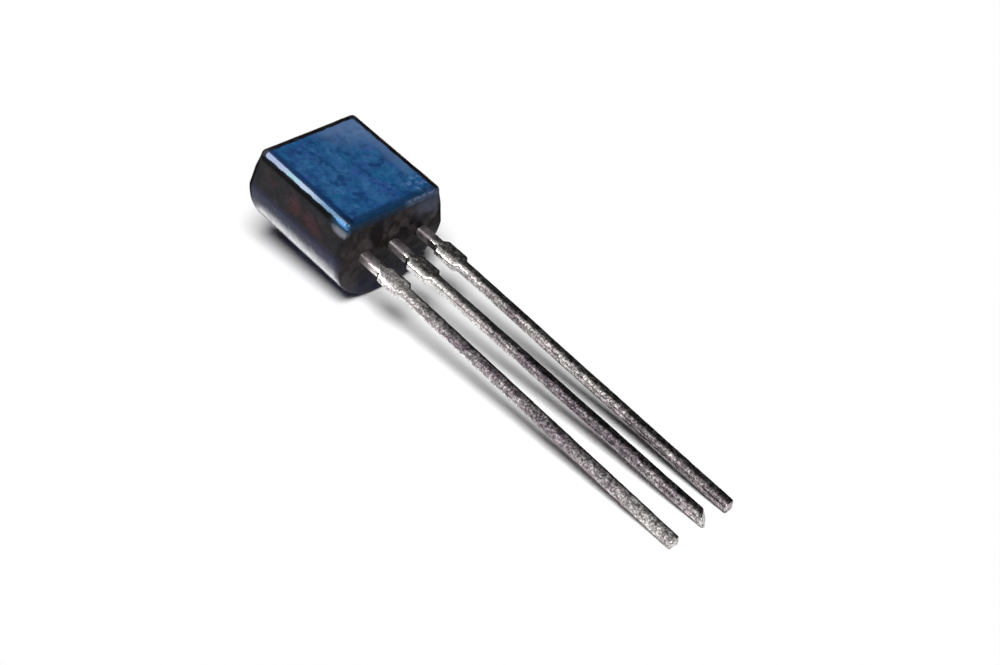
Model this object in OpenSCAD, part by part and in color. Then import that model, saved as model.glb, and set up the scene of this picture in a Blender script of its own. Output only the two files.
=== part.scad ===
// Small-signal transistor in a three-lead D-shaped moulded case.
// Lying flat side up: it stands on the front end of its round back and on its three lead tips.
// Each piece is drawn in the lead frame's own axes: X runs out along the leads from the exit face,
// Y across them, Z up from the middle of the lead strip to the flat. resting() then lays it down.

/* [Case] */
// Length of the case along the leads, at the parting line
case_l = 5.0; // [4.6:0.1:5.6]
// Radius of the round back, which is half the width at the parting line
back_r = 2.25; // [2.15:0.05:2.5]
// Width of the flat between its sharp corners
flat_w = 4.1; // [3.7:0.05:4.2]
// Height of the flat above the middle of the leads
flat_h = 1.52; // [1.3:0.02:1.8]
// Draft of the two ends, away from the parting line
end_draft = 6; // [2:1:10]
// Radius along the four edges of the flat
edge_r = 0.22; // [0.05:0.01:0.3]

/* [Mould marks] */
// Width of the broken gate on the far end
gate_w = 0.7; // [0.4:0.1:1.2]
// Thickness of the broken gate
gate_t = 0.24; // [0.16:0.02:0.4]
// How far the broken gate stands proud
gate_proud = 0.05; // [0.04:0.01:0.1]
// Diameter of the ejector pin's mark on the back
ejector_d = 1.2; // [0.8:0.1:1.8]
// Depth of the ejector pin's mark
ejector_depth = 0.04; // [0.02:0.01:0.08]

/* [Coat] */
// Thickness of the blue coat on the flat
coat_t = 0.02; // [0.01:0.01:0.06]
// Radius of the coat's corners
coat_r = 0.12; // [0.05:0.01:0.4]
// Bare strip between the coat and the round edge, at the far end and on the base side
coat_gap = 0.08; // [0.02:0.01:0.3]
// The same at the exit end and on the emitter side, which the coat nearly reaches
coat_margin = 0.01; // [0.005:0.005:0.1]

/* [Leads] */
// Distance from one lead to the next
pitch = 1.27; // [1.2:0.01:1.35]
// Length of each lead outside the case
lead_l = 14.7; // [10:0.1:18]
// Width of a lead
lead_w = 0.43; // [0.38:0.01:0.5]
// Thickness of the strip that the leads are stamped from
strip_t = 0.38; // [0.34:0.01:0.45]
// Radius of the tinned corners of a lead
corner_r = 0.12; // [0.03:0.01:0.14]
// Distance from the case to the shoulder left by the dam bar
shoulder_gap = 0.9; // [0.6:0.1:1.6]
// Length of the shoulder along the lead
shoulder_l = 1.25; // [0.8:0.05:1.8]
// Width over the shoulder
shoulder_w = 0.72; // [0.56:0.02:0.9]
// Length of the taper at each end of the shoulder
shoulder_taper = 0.2; // [0.05:0.05:0.4]
// How much shorter the slanting cut leaves the top of the collector lead's tip
snip_l = 0.4; // [0.05:0.01:0.6]
// Height over that tip, along the slant, that the cut takes
snip_h = 0.45; // [0.1:0.01:0.5]
// Turn of the slant round the lead, from the base side towards the flat
snip_turn = 41; // [0:1:90]
// Sideways lean of the emitter lead past its shoulder
emitter_lean = -1.15; // [-2:0.05:0.5]
// Sideways lean of the collector lead past its shoulder
collector_lean = -0.2; // [-1:0.05:1]
// Sideways lean of the base lead past its shoulder
base_lean = -1.2; // [-2:0.05:1]

/* [Lead frame in the case] */
// Distance from the exit face to the paddle and the bond flags
frame_depth = 1.9; // [1.5:0.1:2.2]
// Length of the die paddle
paddle_l = 2.1; // [1.6:0.1:2.3]
// Width of the die paddle
paddle_w = 1.3; // [1.1:0.05:1.4]
// Length of a bond flag
flag_l = 1.3; // [1.0:0.1:1.8]
// Width of a bond flag
flag_w = 0.7; // [0.6:0.02:0.76]
// Radius of the notches that lock the frame in the moulding
notch_r = 0.15; // [0.08:0.01:0.2]

/* [Chip] */
// Side of the square die
die_w = 0.5; // [0.4:0.05:0.7]
// Thickness of the die
die_t = 0.2; // [0.12:0.02:0.3]
// Thickness of the die attach
attach_t = 0.02; // [0.01:0.01:0.04]
// How far the die attach shows round the die
attach_margin = 0.04; // [0.02:0.01:0.1]
// Distance of each bond pad from the middle of the die
pad_offset = 0.12; // [0.1:0.01:0.15]

/* [Bond wires] */
// Diameter of the bond wire
wire_d = 0.05; // [0.03:0.005:0.06]
// Radius that the wire is looped to
loop_r = 0.72; // [0.7:0.01:0.9]
// Diameter of the ball and of the stitch
bond_d = 0.12; // [0.1:0.01:0.14]
// Height of the ball and of the stitch
bond_t = 0.05; // [0.04:0.005:0.07]

/* [Hidden] */
$fn = 64;
// Draft of the two sides, from the parting line up to the flat
side_draft = atan((back_r - flat_w / 2) / flat_h);
// How far a neck or a lead runs into the wider metal that it joins
root_l = 0.3;
// How far a cutting shape runs past what it cuts
over = 1;
strip_top = strip_t / 2;
// Half the length and half the width of the flat between its round edges
flat_reach_x = case_l / 2 - flat_h * tan(end_draft) - edge_r / tan(45 + end_draft / 2);
flat_reach_y = flat_w / 2 - edge_r / tan(45 + side_draft / 2);
shoulder_end = shoulder_gap + shoulder_l;
die_x = -(frame_depth + paddle_l / 2);
die_top = strip_top + attach_t + die_t;
flag_x = -(frame_depth + flag_l / 2);
// The part stands on the front end of the back's lowest line and on the lower edge of the tips
foot_x = -back_r * tan(end_draft);
rest_tilt = atan2(back_r - strip_top, lead_l - foot_x);
rest_lift = lead_l * sin(rest_tilt) + strip_top * cos(rest_tilt);
// Ends of the part along X once it lies down, to put the origin midway between them
tip_end = lead_l * cos(rest_tilt) + strip_top * sin(rest_tilt);
back_end = -(case_l + foot_x) * cos(rest_tilt) - back_r * sin(rest_tilt);
gate_end = -(case_l + gate_proud) * cos(rest_tilt) - gate_t / 2 * sin(rest_tilt);
middle = (tip_end + min(back_end, gate_end)) / 2;

module resting() {
    translate([-middle, 0, rest_lift])
        rotate([0, rest_tilt, 0])
            children();
}

// ---- Case ----

// Upper half of a drafted outline with round top corners: reach is half its width at the top
module drafted_top(reach, draft) {
    foot = reach + flat_h * tan(draft);
    centre = [reach - edge_r / tan(45 + draft / 2), flat_h - edge_r];
    touch = centre + edge_r * [cos(draft), sin(draft)];
    polygon([
        [-foot, 0], [foot, 0], touch, centre, [centre[0], flat_h],
        [-centre[0], flat_h], [-centre[0], centre[1]], [-touch[0], touch[1]]
    ]);
    for (end = [-1, 1])
        translate([end * centre[0], centre[1]])
            circle(r = edge_r);
}

// Outline of the case seen along the leads
module end_outline() {
    drafted_top(flat_w / 2, side_draft);
    intersection() {
        circle(r = back_r);
        translate([-back_r - over, -back_r - over])
            square([2 * (back_r + over), back_r + over]);
    }
}

// Outline of the case seen from the side, running on below the round back
module side_outline() {
    low = back_r + over;
    taper = low * tan(end_draft);
    end = case_l / 2;
    drafted_top(end - flat_h * tan(end_draft), end_draft);
    polygon([[-end, 0], [end, 0], [end - taper, -low], [taper - end, -low]]);
}

// Both outlines extruded through each other
module moulded() {
    intersection() {
        translate([-case_l - over, 0, 0])
            rotate([90, 0, 90])
                linear_extrude(case_l + 2 * over)
                    end_outline();
        translate([-case_l / 2, back_r + over, 0])
            rotate([90, 0, 0])
                linear_extrude(2 * (back_r + over))
                    side_outline();
    }
}

module gate() {
    translate([-case_l - gate_proud, -gate_w / 2, -gate_t / 2])
        cube([gate_proud + over, gate_w, gate_t]);
}

module ejector_mark() {
    translate([-case_l / 2, 0, -back_r - over])
        cylinder(d = ejector_d, h = over + ejector_depth);
}

// Round-cornered rectangle round the origin
module plate_outline(l, w, r) {
    square([l - 2 * r, w], center = true);
    square([l, w - 2 * r], center = true);
    for (x = [-1, 1], y = [-1, 1])
        translate([x * (l / 2 - r), y * (w / 2 - r)])
            circle(r = r);
}

// Printed a little off centre, towards the exit end and the emitter side
module coat() {
    shift = (coat_gap - coat_margin) / 2;
    bare = coat_gap + coat_margin;
    translate([shift - case_l / 2, -shift, flat_h])
        linear_extrude(coat_t)
            plate_outline(2 * flat_reach_x - bare, 2 * flat_reach_y - bare, coat_r);
}

// ---- Leads ----

// Places its children in the axes of a lead's free end, past the shoulder
module leaning(lean) {
    translate([shoulder_end, 0, 0])
        rotate([0, 0, lean])
            children();
}

module bar(from, to) {
    translate([from, 0, 0])
        rotate([90, 0, 90])
            linear_extrude(to - from)
                plate_outline(lead_w, strip_t, corner_r);
}

// Flat piece of the strip, along the lead from one place to another
module strip(from, to, w) {
    translate([from, -w / 2, -strip_top])
        cube([to - from, w, strip_t]);
}

// Widening left by the cut dam bar, tapered at both ends
module shoulder() {
    root = lead_w / 2 - corner_r;
    reach = shoulder_w / 2;
    from = shoulder_gap + shoulder_taper;
    to = shoulder_end - shoulder_taper;
    translate([0, 0, -strip_top])
        linear_extrude(strip_t)
            polygon([
                [shoulder_gap, -root], [from, -reach], [to, -reach], [shoulder_end, -root],
                [shoulder_end, root], [to, reach], [from, reach], [shoulder_gap, root]
            ]);
}

module notch(x, y) {
    translate([x, y, -over])
        cylinder(r = notch_r, h = 2 * over);
}

// Neck through the case wall, shoulder of the cut dam bar, and the lead that leans from it
module leg(lean) {
    bar(-frame_depth - root_l, shoulder_gap + root_l);
    shoulder();
    leaning(lean)
        bar(-root_l, lead_l - shoulder_end);
}

// What the slanting cut takes off the end of a lead
module snip() {
    end = lead_l - shoulder_end;
    top = norm([lead_w, strip_t]) / 2;
    rotate([snip_turn, 0, 0])
        translate([0, 0, -over])
            linear_extrude(2 * over)
                polygon([
                    [end, top - snip_h], [end + over, top - snip_h],
                    [end + over, top], [end - snip_l, top]
                ]);
}

// Outer lead with the flag that its bond wire lands on
module flag_lead(side, lean) {
    translate([0, side * pitch, 0]) {
        leg(lean);
        difference() {
            strip(-frame_depth - flag_l, -frame_depth, flag_w);
            notch(flag_x, side * flag_w / 2);
        }
    }
}

// Middle lead with the paddle that carries the die
module paddle_lead() {
    difference() {
        leg(collector_lean);
        leaning(collector_lean)
            snip();
    }
    difference() {
        strip(-frame_depth - paddle_l, -frame_depth, paddle_w);
        for (side = [-1, 1])
            notch(-frame_depth - paddle_l + 2 * notch_r, side * paddle_w / 2);
    }
}

// ---- Chip and bond wires ----

module chip() {
    translate([die_x - die_w / 2, -die_w / 2, strip_top + attach_t])
        cube([die_w, die_w, die_t]);
}

module chip_attach() {
    w = die_w + 2 * attach_margin;
    translate([die_x - w / 2, -w / 2, strip_top])
        cube([w, w, attach_t]);
}

module bond(x, y, z) {
    translate([x, y, z])
        cylinder(d = bond_d, h = bond_t);
}

// Wire looped in one arc from its ball on the die to its stitch on the flag
module bond_wire(side) {
    pad = [die_x, side * pad_offset];
    land = [flag_x, side * pitch];
    span = norm(land - pad);
    drop = die_top - strip_top;
    chord = norm([span, drop]);
    sag = sqrt(pow(loop_r, 2) - pow(chord / 2, 2));
    centre = [span / 2 - sag * drop / chord, drop / 2 - sag * span / chord];
    start = atan2(drop - centre[1], -centre[0]);
    end = atan2(-centre[1], span - centre[0]);
    bond(pad[0], pad[1], die_top);
    bond(land[0], land[1], strip_top);
    translate([pad[0], pad[1], strip_top + bond_t / 2])
        rotate([0, 0, atan2(land[1] - pad[1], land[0] - pad[0])])
            rotate([90, 0, 0])
                translate([centre[0], centre[1], 0])
                    rotate([0, 0, end])
                        rotate_extrude(angle = start - end)
                            translate([loop_r, 0])
                                circle(d = wire_d);
}

// Everything that the moulding flows round
module insert() {
    flag_lead(-1, emitter_lean);
    paddle_lead();
    flag_lead(1, base_lean);
    chip_attach();
    chip();
    bond_wire(-1);
    bond_wire(1);
}

// ---- Nodes ----

module case() {
    color([0.10, 0.09, 0.09])
        resting()
            difference() {
                union() {
                    moulded();
                    gate();
                }
                ejector_mark();
                insert();
            }
}

module face_coat() {
    color([0.10, 0.31, 0.55])
        resting()
            coat();
}

module emitter_lead() {
    color([0.75, 0.74, 0.72])
        resting()
            flag_lead(-1, emitter_lean);
}

module collector_lead() {
    color([0.78, 0.77, 0.74])
        resting()
            paddle_lead();
}

module base_lead() {
    color([0.75, 0.74, 0.72])
        resting()
            flag_lead(1, base_lean);
}

module die() {
    color([0.35, 0.37, 0.42])
        resting()
            chip();
}

module die_attach() {
    color([0.80, 0.80, 0.82])
        resting()
            chip_attach();
}

module emitter_bond_wire() {
    color([0.85, 0.65, 0.20])
        resting()
            bond_wire(-1);
}

module base_bond_wire() {
    color([0.85, 0.65, 0.20])
        resting()
            bond_wire(1);
}

case();
face_coat();
emitter_lead();
collector_lead();
base_lead();
die();
die_attach();
emitter_bond_wire();
base_bond_wire();
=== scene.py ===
import math

import bmesh
import bpy
import numpy as np
from mathutils import Matrix, Vector


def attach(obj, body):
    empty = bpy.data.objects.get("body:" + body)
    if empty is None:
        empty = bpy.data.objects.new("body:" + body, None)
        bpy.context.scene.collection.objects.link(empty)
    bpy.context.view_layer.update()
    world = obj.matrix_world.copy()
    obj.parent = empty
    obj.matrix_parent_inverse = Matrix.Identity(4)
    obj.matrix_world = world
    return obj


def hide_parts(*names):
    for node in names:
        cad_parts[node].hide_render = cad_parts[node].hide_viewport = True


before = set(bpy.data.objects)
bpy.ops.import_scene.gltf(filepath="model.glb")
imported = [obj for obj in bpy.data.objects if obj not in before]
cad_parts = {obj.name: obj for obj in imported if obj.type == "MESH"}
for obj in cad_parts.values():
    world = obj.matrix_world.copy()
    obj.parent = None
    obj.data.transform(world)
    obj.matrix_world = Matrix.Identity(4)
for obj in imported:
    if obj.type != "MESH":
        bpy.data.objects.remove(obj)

MM = 0.001

# ---- The photograph's camera, in the part's frame ----
IMAGE_WIDTH = 1000
SENSOR = 36.0
FOCAL_PIXELS = 1922
CAMERA_AZIMUTH = 42.137
CAMERA_ELEVATION = 37.187
CAMERA_ROLL = 6.54
CAMERA_DISTANCE = 63.102 * MM
CAMERA_TARGET = Vector((-0.111, 0.665, 1.0)) * MM
CLIP_START, CLIP_END = 1 * MM, 10

# ---- Light and floor ----
KEY_AZIMUTH = 43
KEY_ELEVATION = 60
KEY_ANGLE = 25
FILL = 0.008
FILL_COLOUR = (FILL, FILL * 0.95, FILL * 1.12, 1)
# The key and the fill together give the floor the colour that it is written in
KEY_STRENGTH = (1 - FILL) * math.pi / math.sin(math.radians(KEY_ELEVATION))
BLACK, WHITE = (0, 0, 0, 1), (1, 1, 1, 1)
FLOOR_SIZE = 3.0
FLOOR_TONE, FLOOR_SEEN = (0.9, 0.9, 0.9), (1.0, 1.0, 1.0)

# Dark card, a piece of a dome round the base side
DOME_RADIUS = 0.5
DOME_AZIMUTHS = np.linspace(95, 265, 35)
DOME_ELEVATIONS = np.linspace(-4, 86, 19)

# White card just above the floor beside the round back, in mm
BOUNCE = 3.6
BOUNCE_X, BOUNCE_Y, BOUNCE_Z = (-11.2, -5.9), (-2.75, -1.5), 0.02

# Strip light, with its two ends in these directions from the round edge that mirrors it
STRIP_AWAY, STRIP_WIDTH, STRIP_RADIANCE = 5 * MM, 5.6 * MM, 19
STRIP_TOWARDS = ((-0.44, -0.05, 0.897), (-0.545, -0.82, 0.12))

# ---- The part's sizes in mm, as its source has them ----
CASE_L, BACK_R, FLAT_W, FLAT_H, EDGE_R = 5.0, 2.25, 4.1, 1.52, 0.22
END_DRAFT = 6
END_SLOPE = math.tan(math.radians(END_DRAFT))
SIDE_SLOPE = (BACK_R - FLAT_W / 2) / FLAT_H
SIDE_LEAN = math.degrees(math.atan(SIDE_SLOPE))
# How far the plane of the flat reaches from its middle, along and across
FLAT_REACH = (
    CASE_L / 2 - FLAT_H * END_SLOPE - EDGE_R / math.tan(math.radians(45 + END_DRAFT / 2)),
    FLAT_W / 2 - EDGE_R / math.tan(math.radians(45 + SIDE_LEAN / 2)),
)
GATE_W, GATE_T, GATE_PROUD = 0.7, 0.24, 0.05
EJECTOR_D, EJECTOR_DEPTH = 1.2, 0.04
COAT_T, COAT_R, COAT_GAP = 0.02, 0.12, 0.08
PITCH, LEAD_L, LEAD_W, STRIP_T = 1.27, 14.7, 0.43, 0.38
SHOULDER_FROM, SHOULDER_TO, SHOULDER_W, SHOULDER_TAPER = 0.9, 2.15, 0.72, 0.2
FRAME_DEPTH, PADDLE_L, PADDLE_W, FLAG_L, FLAG_W, NOTCH_R = 1.9, 2.1, 1.3, 1.3, 0.7, 0.15

# ---- How it lies ----
STRIP_TOP = STRIP_T / 2
FOOT_X = -BACK_R * END_SLOPE
TILT = math.atan2(BACK_R - STRIP_TOP, LEAD_L - FOOT_X)
LIFT = LEAD_L * math.sin(TILT) + STRIP_TOP * math.cos(TILT)
TIP_END = LEAD_L * math.cos(TILT) + STRIP_TOP * math.sin(TILT)
BACK_END = min(
    -(CASE_L + FOOT_X) * math.cos(TILT) - BACK_R * math.sin(TILT),
    -(CASE_L + GATE_PROUD) * math.cos(TILT) - GATE_T / 2 * math.sin(TILT),
)
REST = Matrix.Translation((-(TIP_END + BACK_END) / 2, 0, LIFT)) @ Matrix.Rotation(TILT, 4, "Y")

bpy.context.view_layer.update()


def direction(azimuth, elevation):
    """Unit vector that points from the object to a place seen at that azimuth and elevation, in degrees."""
    a, e = math.radians(azimuth), math.radians(elevation)
    return Vector((math.sin(a) * math.cos(e), -math.cos(a) * math.cos(e), math.sin(e)))


# ---- Meshes, in mm in the lead frame: X out along the leads, Y towards the base lead, Z up to the flat ----

# The rows of a round corner meet in points nearer than this
WELD = 0.0004 * MM


def laid_down(points):
    """The points in metres, with the part as it lies."""
    turn = np.array(REST.to_3x3())
    return (points @ turn.T + np.array(REST.translation)) * MM


def smooth(value, low, high):
    t = np.clip((value - low) / (high - low), 0, 1)
    return t * t * (3 - 2 * t)


def ripple(points, length, seed, count=24):
    """Smooth seeded unevenness of about one unit either way, with waves near that length in mm."""
    random = np.random.default_rng(seed)
    waves = random.normal(size=(count, 3)) * (2.6 / length)
    phases = random.uniform(0, 2 * math.pi, count)
    return np.sin(points @ waves.T + phases).sum(1) / math.sqrt(count / 2)


def dents(points, length, seed):
    """A ripple that stays between 0 and 2."""
    return 1 + np.tanh(ripple(points, length, seed))


def arc(centre, radius, start, end, count):
    """Points of an arc, with its ends in degrees, and their outward normals."""
    a = np.radians(np.linspace(start, end, count))
    n = np.stack([np.cos(a), np.sin(a)], 1)
    return np.asarray(centre) + radius * n, n


def between(start, end, steps):
    """Evenly spaced values from start to end, without the two ends."""
    return np.linspace(start, end, steps + 1)[1:-1]


def tube_faces(around, along):
    """Quads of a tube whose points go round in the first index and along it in the second."""
    i, j = np.meshgrid(np.arange(around), np.arange(along - 1), indexing="ij")
    k = (i + 1) % around
    quads = np.stack([i * along + j, k * along + j, k * along + j + 1, i * along + j + 1], -1)
    return quads.reshape(-1, 4).tolist()


def fan_faces(ring, centre):
    """Triangles from a ring of points to a point."""
    return np.stack([ring, np.roll(ring, -1), np.full(len(ring), centre)], 1).tolist()


def add_to_scene(name, data):
    thing = bpy.data.objects.new(name, data)
    bpy.context.scene.collection.objects.link(thing)
    return thing


def make_piece(name, points, faces, material, node):
    mesh = bpy.data.meshes.new(name)
    mesh.from_pydata(laid_down(points).tolist(), [], faces)
    net = bmesh.new()
    net.from_mesh(mesh)
    bmesh.ops.remove_doubles(net, verts=net.verts, dist=WELD)
    net.to_mesh(mesh)
    net.free()
    mesh.validate()
    mesh.shade_smooth()
    mesh.materials.append(material)
    piece = add_to_scene(name, mesh)
    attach(piece, "root")
    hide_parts(node)


# ---- Materials, in mm in the lead frame ----

class Nodes:
    """Short way to build a material's nodes."""

    def __init__(self, name):
        self.material = bpy.data.materials.new(name)
        self.material.use_nodes = True
        self.tree = self.material.node_tree
        self.shader = self.tree.nodes["Principled BSDF"]
        self.colour = None
        turn = REST.to_3x3().transposed()
        self.place = self.add(
            "ShaderNodeMapping",
            {
                "Vector": self.add("ShaderNodeTexCoord").outputs["Object"],
                "Location": -(turn @ REST.translation),
                "Rotation": turn.to_euler(),
                "Scale": (1 / MM,) * 3,
            },
        ).outputs["Vector"]

    def add(self, kind, inputs=None, **settings):
        node = self.tree.nodes.new(kind)
        for key, value in settings.items():
            setattr(node, key, value)
        for key, value in (inputs or {}).items():
            self.put(value, node.inputs[key])
        return node

    def put(self, value, socket):
        if isinstance(value, bpy.types.NodeSocket):
            self.tree.links.new(value, socket)
        else:
            socket.default_value = value

    def set(self, **values):
        """Sets the shader's sockets, with _ for the spaces in their names."""
        for key, value in values.items():
            self.put(value, self.shader.inputs[key.replace("_", " ")])

    def math(self, operation, a, b=0.0, c=0.0):
        return self.add("ShaderNodeMath", {0: a, 1: b, 2: c}, operation=operation).outputs[0]

    def vector_math(self, operation, inputs):
        return self.add("ShaderNodeVectorMath", inputs, operation=operation).outputs

    def plus(self, a, b):
        return self.math("ADD", a, b)

    def minus(self, a, b):
        return self.math("SUBTRACT", a, b)

    def absolute(self, value):
        return self.math("ABSOLUTE", value)

    def scaled(self, value, factor, offset):
        """The value times the factor, plus the offset."""
        return self.math("MULTIPLY_ADD", value, factor, offset)

    def times(self, first, *others):
        for other in others:
            first = self.math("MULTIPLY", first, other)
        return first

    def most(self, first, *others):
        for other in others:
            first = self.math("MAXIMUM", first, other)
        return first

    def step(self, value, low, high, to_low=0.0, to_high=1.0):
        """Goes smoothly from to_low, where the value is low, to to_high, where it is high."""
        inputs = {"Value": value, "From Min": low, "From Max": high, "To Min": to_low, "To Max": to_high}
        return self.add("ShaderNodeMapRange", inputs, interpolation_type="SMOOTHSTEP").outputs["Result"]

    def mix(self, factor, a, b, blend="MIX"):
        node = self.add("ShaderNodeMix", data_type="RGBA", blend_type=blend)
        colours = [s for s in node.inputs if s.type == "RGBA"]
        self.put(factor, node.inputs[0])
        self.put(a if isinstance(a, bpy.types.NodeSocket) else (*a, 1), colours[0])
        self.put(b if isinstance(b, bpy.types.NodeSocket) else (*b, 1), colours[1])
        return next(s for s in node.outputs if s.type == "RGBA")

    def paint(self, cover, tint, blend="MIX"):
        """Lays a tint over the colour so far."""
        self.colour = self.mix(cover, self.colour, tint, blend)

    def axes(self):
        return self.add("ShaderNodeSeparateXYZ", {0: self.place}).outputs

    def distance(self, centre, stretch=(1, 1, 1)):
        """Distance from a place, with each axis stretched by its factor."""
        offset = self.vector_math("SUBTRACT", {0: self.place, 1: centre})[0]
        offset = self.vector_math("MULTIPLY", {0: offset, 1: stretch})[0]
        return self.vector_math("LENGTH", {0: offset})["Value"]

    def noise(self, scale, detail=3.0, roughness=0.55, distortion=0.0, stretch=(1, 1, 1), shift=(0, 0, 0)):
        """Noise with scale waves per mm."""
        place = self.add("ShaderNodeMapping", {"Vector": self.place, "Location": shift, "Scale": stretch})
        inputs = {
            "Vector": place.outputs[0],
            "Scale": scale,
            "Detail": detail,
            "Roughness": roughness,
            "Distortion": distortion,
        }
        return self.add("ShaderNodeTexNoise", inputs).outputs["Fac"]

    def bump(self, height, depth, normal=None):
        """Unevenness of that depth, on top of what normal has."""
        inputs = {"Height": height, "Distance": depth * MM, "Strength": 1.0}
        if normal is not None:
            inputs["Normal"] = normal
        return self.add("ShaderNodeBump", inputs).outputs["Normal"]


# Painted glint: the bare round edge and the coat shine alike beside the base lead
PAINTED_GLINT_BLUE, PAINTED_GLINT_Y = (0.095, 0.125, 0.205), (0.3, 0.7)

# ---- Epoxy: its colours, then pairs of places, where a finish starts and where it is full ----
EPOXY_BLACK = (0.0065, 0.0055, 0.0065)
EPOXY_SHEEN = (0.86, 0.88, 1.0, 1)
RED, VIOLET, ASH = (0.050, 0.0105, 0.0145), (0.015, 0.014, 0.030), (0.030, 0.029, 0.026)
BLOT, GRIT = (0.002, 0.0018, 0.0022), (0.036, 0.035, 0.034)
EXIT_DARK, EXIT_PALE, EXIT_BROWN = (0.0035, 0.002, 0.0022), (0.068, 0.055, 0.054), (0.022, 0.013, 0.004)
EXIT_REFLECTION, EXIT_SIDE = (0.062, 0.074, 0.115), (0.080, 0.067, 0.070)
SHADE_LINE_BLACK, SHADE_LINE_BLUE = (0.001, 0.0012, 0.0018), (0.022, 0.060, 0.105)
PARTING_REFLECTION_BLUE, PARTING_DARK = (0.025, 0.029, 0.084), (0.005, 0.003, 0.0035)
SCUFF_HIGHLIGHT, WORN, CORNER_BLACK = (0.19, 0.205, 0.25), (0.0015, 0.001, 0.0012), (0.001, 0.0008, 0.001)
BLED_BLUE = (0.006, 0.026, 0.060)
GATE_DARK, GATE_PALE = (0.030, 0.027, 0.028), (0.085, 0.078, 0.078)

STRAY_Z = (1.2, 0.9)
BLUSHES = ((-2.75, -2.15, 0.68), (-1.75, -2.18, 0.52))
BLUSH_STRETCH, BLUSH_FADE = (0.8, 1, 1.2), (0.08, -0.48)
EXIT_X = (-0.3, -0.05)
SHADE_LINE_Y, SHADE_LINE_Z, SHADE_LINE_BLUE_X = (-1.9, -1.96), (1.10, 1.24), (-1.2, -0.6)
SCUFF_HIGHLIGHT_AT, SCUFF_HIGHLIGHT_STRETCH, SCUFF_HIGHLIGHT_FADE = (-0.42, -2.1, 1.09), (0.34, 1, 1), (0.27, 0.12)
WORN_AT, WORN_STRETCH, WORN_FADE, WORN_X = (0, -2.0, 0.75), (0, 1, 0.6), (0.32, 0.16), (-0.24, -0.16)
EXIT_REFLECTION_Y, EXIT_REFLECTION_Z = (0.5, 1.5), (0.65, 1.25)
PARTING_Z = (0.3, -0.1)
EXIT_SIDE_Y = (-1.0, -1.5)
EXIT_CORNER_Y, EXIT_CORNER_Z = (2.0, 2.13), (-0.3, 0.1)
FAR_CORNER_X, FAR_CORNER_Y = (-4.78, -4.87), (-2.0, -2.1)
BLED_Z, PAINTED_GLINT_Z = (1.2, 1.48), (1.24, 1.34)
GATE_X = (0.01 - CASE_L, -0.01 - CASE_L)
DULL_X, DULL_Z = (-0.55, -0.2), (1.12, 1.26)


def paint_ground(n, pale, grain):
    """Black, with red, violet and ashen clouds, darker blots and a pale grit."""
    z = n.axes()["Z"]
    stray = n.noise(1.6, shift=(3, 1, 0))
    red = n.times(n.step(stray, 0.52, 0.70, 0.0, 0.35), n.step(z, *STRAY_Z))
    for blush in BLUSHES:
        spread = n.scaled(stray, -1.0, n.distance(blush, BLUSH_STRETCH))
        red = n.most(red, n.step(spread, *BLUSH_FADE))
    violet = n.step(n.noise(1.0, shift=(0, 7, 2)), 0.46, 0.68, 0.0, 0.7)
    blots = n.step(n.noise(2.6, 4, 0.65, 0.5, shift=(1, 6, 3)), 0.54, 0.40, 0.0, 0.75)
    n.colour = n.mix(red, EPOXY_BLACK, RED)
    n.paint(violet, VIOLET)
    n.paint(n.times(pale, 0.45), ASH)
    n.paint(blots, BLOT)
    n.paint(n.step(grain, 0.62, 0.74), GRIT)


def paint_flow_marks(n, exit_end, patch):
    """Flow marks round the leads."""
    flow = n.noise(1.6, 4, 0.65, 0.8, shift=(2, 4, 6))
    n.paint(n.times(exit_end, 0.75), EXIT_DARK)
    n.paint(n.times(exit_end, n.step(patch, 0.40, 0.74, 0.0, 0.85)), EXIT_PALE)
    n.paint(n.times(exit_end, n.step(flow, 0.47, 0.3, 0.0, 0.6)), EXIT_BROWN)


def paint_wear(n, exit_end, patch, line):
    """The line under the round edge, a painted shade, blue towards the exit end; the scuffed and worn corner
    at its end, the scuff lightened as a painted highlight; and the tints below: a painted reflection on the
    exit face beside the base lead, a bluish painted reflection below the parting line, darker on the exit
    face, and a paler emitter side of the exit face.
    """
    x, y, z = n.axes()
    # Painted shade: a dark line along the top of the emitter-side wall under the round edge, blue near the
    # exit end
    n.paint(line, n.mix(n.step(x, *SHADE_LINE_BLUE_X), SHADE_LINE_BLACK, SHADE_LINE_BLUE))
    # Scuffed corner at the end of the round edge, lightened as a painted highlight
    scuff_highlight = n.scaled(patch, 0.14, n.distance(SCUFF_HIGHLIGHT_AT, SCUFF_HIGHLIGHT_STRETCH))
    n.paint(n.step(scuff_highlight, *SCUFF_HIGHLIGHT_FADE), SCUFF_HIGHLIGHT)
    worn = n.step(n.distance(WORN_AT, WORN_STRETCH), *WORN_FADE)
    n.paint(n.times(n.step(x, *WORN_X), worn), WORN)
    # Painted reflection: paler and bluish on the exit face beside the base lead
    exit_reflection = n.times(n.step(y, *EXIT_REFLECTION_Y, 0.0, 0.85), n.step(n.scaled(patch, 0.5, z), *EXIT_REFLECTION_Z))
    n.paint(n.times(exit_end, exit_reflection), EXIT_REFLECTION)
    # Painted reflection: bluish below the parting line on the sides, darker there on the exit face
    n.paint(n.step(z, *PARTING_Z, 0.0, 0.6), n.mix(exit_end, PARTING_REFLECTION_BLUE, PARTING_DARK))
    side = n.times(exit_end, n.step(y, *EXIT_SIDE_Y, 0.0, 0.26))
    n.paint(n.times(side, n.step(patch, 0.3, 0.6, 0.5, 1.2)), EXIT_SIDE)


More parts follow.
